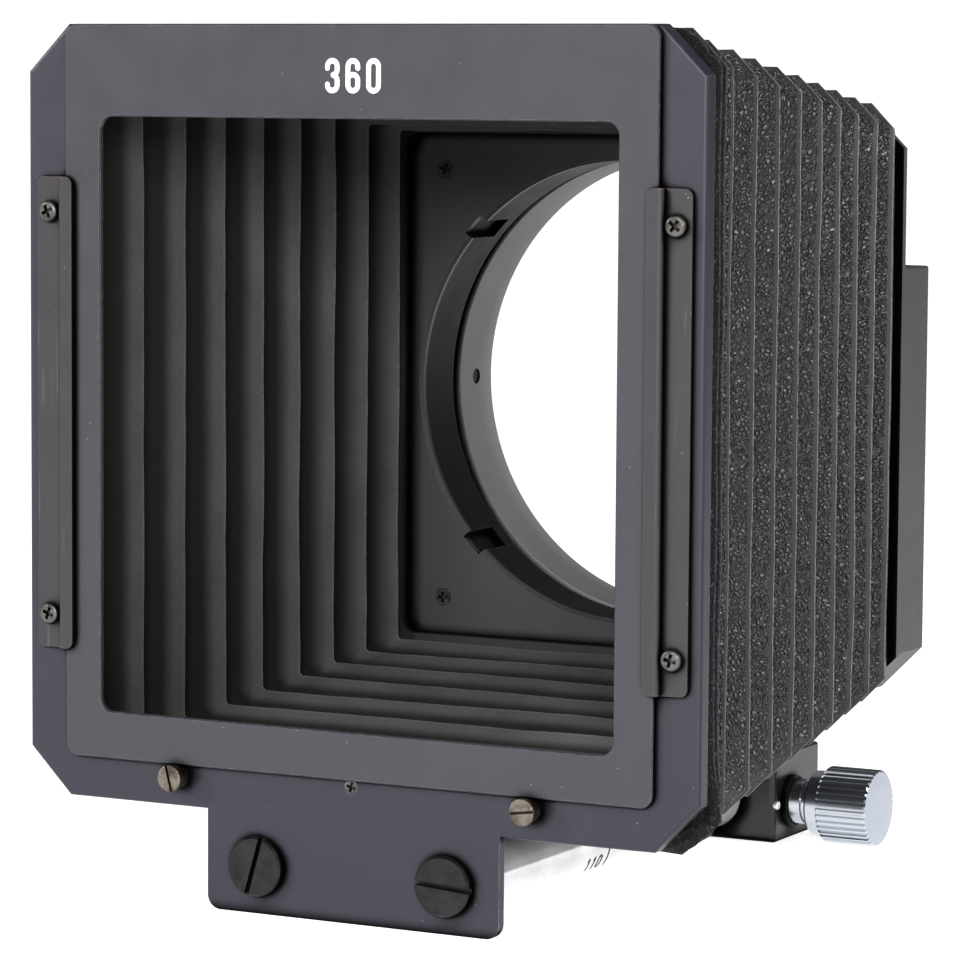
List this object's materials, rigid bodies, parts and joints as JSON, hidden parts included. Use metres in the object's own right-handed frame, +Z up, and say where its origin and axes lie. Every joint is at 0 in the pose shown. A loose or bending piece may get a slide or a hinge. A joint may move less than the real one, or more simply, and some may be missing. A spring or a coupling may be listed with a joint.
{
  "type": "bellows lens hood",
  "caption": "Compendium lens hood: a pleated bellows between a front frame with a lift-out mask and a rear ring that clamps on a lens, sliding on rods locked by a knurled knob.",
  "frame": {"origin": "centre of the lens bore's rear mouth, on the lens axis", "axes": "+Y along the lens axis towards the camera, so the mask faces -Y; +Z up; +X to the right as seen from in front of the mask"},
  "size_m": [0.135, 0.1432, 0.158],
  "materials": {
    "front_paint": "satin",
    "mask_metal": "satin",
    "clip_metal": "satin",
    "small_screws": "worn",
    "pin_brass": "aged",
    "black_screws": "blackened",
    "rod_chrome": "polished",
    "rod_insert": "turned",
    "frame_black": "matt",
    "leathercloth": "grained gloss",
    "lining_cloth": "matt",
    "rear_paint": "satin",
    "ring_metal": "anodised",
    "bush_bronze": "oiled",
    "knob_chrome": "polished",
    "clamp_steel": "turned"
  },
  "bodies": {
    "rear_standard": {"rear_plate": "rear_paint", "rear_plate_screws": "black_screws", "light_collar": "rear_paint", "rear_housing": "rear_paint", "housing_back": "rear_paint", "bellows_rear_frame": "frame_black", "bellows_cover": "leathercloth", "bellows_lining": "lining_cloth", "rail_bracket": "rear_paint", "rod_bushes": "bush_bronze", "bracket_screws": "black_screws", "guide_pin": "small_screws"},
    "front_standard": {"front_plate": "front_paint", "mask_clip_left": "clip_metal", "mask_clip_right": "clip_metal", "clip_screws": "small_screws", "mask_pins": "pin_brass", "centre_screw": "small_screws", "rod_screws": "black_screws", "rod_left": "rod_chrome", "rod_right": "rod_chrome", "rod_plugs": "rod_insert", "rod_stops": "black_screws", "bellows_front_frame": "frame_black"},
    "mask": {"mask_plate": "mask_metal"},
    "clamp_shoe_body": {"clamp_shoe": "bush_bronze"},
    "clamp_knob_body": {"clamp_knob": "knob_chrome", "clamp_screw": "clamp_steel", "clamp_collar": "knob_chrome"},
    "lens_ring": {"mount_ring": "ring_metal"},
    "lens_lock_shoe": {"lens_lock_pad": "clamp_steel"},
    "lens_lock": {"lens_lock_screw": "knob_chrome"}
  },
  "joints": [
    {"name": "front_slide", "type": "slide", "parent": "rear_standard", "child": "front_standard", "axis": [0, 1, 0], "range_m": [0, 0.072], "deforming": ["bellows_cover", "bellows_lining"]},
    {"name": "mask_lift", "type": "slide", "parent": "front_standard", "child": "mask", "axis": [0, 0, 1], "range_m": [0, 0.105]},
    {"name": "clamp_shoe_slide", "type": "slide", "parent": "rear_standard", "child": "clamp_shoe_body", "axis": [1, 0, 0], "range_m": [0, 0.00105]},
    {"name": "clamp_knob_turn", "type": "hinge", "parent": "clamp_shoe_body", "child": "clamp_knob_body", "pos_m": [0.04, -0.0215, -0.07995], "axis": [1, 0, 0], "range_deg": [0, 540]},
    {"name": "lens_ring_turn", "type": "hinge", "parent": "rear_standard", "child": "lens_ring", "pos_m": [0, 0, 0], "axis": [0, 1, 0], "continuous": true},
    {"name": "lens_lock_slide", "type": "slide", "parent": "lens_ring", "child": "lens_lock_shoe", "axis": [-1, 0, 0], "range_m": [0, 0.000499]},
    {"name": "lens_lock_turn", "type": "hinge", "parent": "lens_lock_shoe", "child": "lens_lock", "pos_m": [-0.055, -0.0065, 0], "axis": [-1, 0, 0], "range_deg": [0, 360]}
  ],
  "couplings": [
    {"joint": "clamp_knob_turn", "follows": "clamp_shoe_slide", "rad_per_m": 8975.9},
    {"joint": "lens_lock_turn", "follows": "lens_lock_slide", "rad_per_m": 12566}
  ]
}
